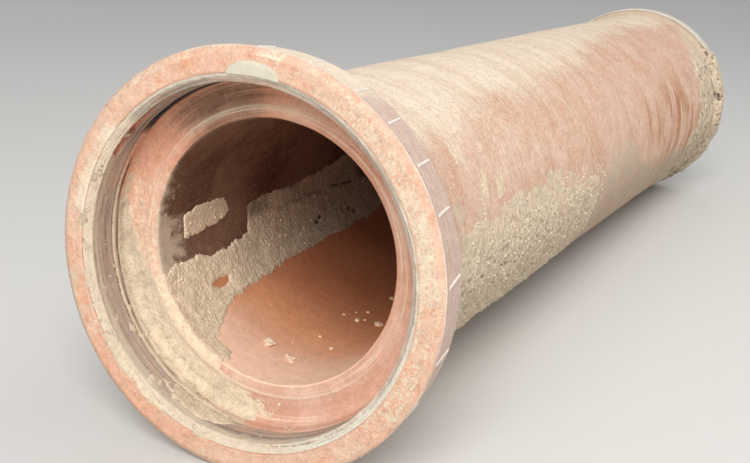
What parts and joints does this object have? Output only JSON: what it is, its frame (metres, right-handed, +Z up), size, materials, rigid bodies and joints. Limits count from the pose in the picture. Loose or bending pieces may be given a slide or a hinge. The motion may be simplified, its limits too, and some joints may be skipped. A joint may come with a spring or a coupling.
{
  "type": "clay drain pipe",
  "caption": "Round fired clay drain pipe with a lined bell at one end and a ringed spigot at the other, dusty and crusted with dried mud.",
  "frame": {"origin": "middle of the resting pipe's outline on the floor, where the bounding box's bottom face has its centre", "axes": "+X along the pipe from the bell to the spigot, which is its longest extent; +Z up"},
  "size_m": [2.1455, 0.592, 0.5919],
  "materials": {
    "fired_clay": "unglazed fired clay, dusty",
    "cast_joint": "cast resin joint, dull"
  },
  "bodies": {
    "root": {"pipe_body": "fired_clay", "bell_lining": "cast_joint", "spigot_ring": "cast_joint"}
  },
  "joints": []
}
